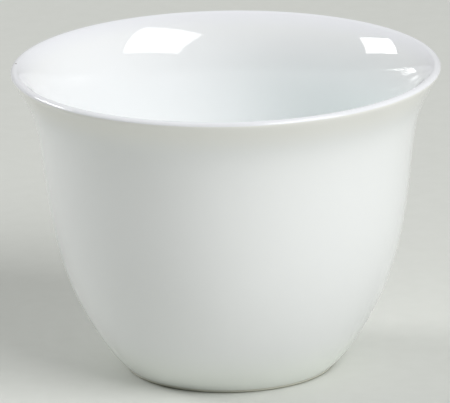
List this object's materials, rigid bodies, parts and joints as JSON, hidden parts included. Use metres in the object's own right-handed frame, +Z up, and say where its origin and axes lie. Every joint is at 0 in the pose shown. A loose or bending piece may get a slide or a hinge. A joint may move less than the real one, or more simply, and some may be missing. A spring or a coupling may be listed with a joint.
{
  "type": "arabic coffee cup",
  "caption": "Small handleless porcelain cup with a rounded bowl, a flared lip and a low foot ring, glazed white all over but the edge it stands on.",
  "frame": {"origin": "centre of the circle that the foot ring stands on, at the level of the table", "axes": "+Z up along the axis of the cup; X and Y are level, and every turn about Z is alike"},
  "size_m": [0.065, 0.065, 0.0469],
  "materials": {
    "porcelain": "matte",
    "glaze": "gloss"
  },
  "bodies": {
    "root": {"porcelain_body": "porcelain", "glaze_coat": "glaze", "base_glaze": "glaze"}
  },
  "joints": []
}
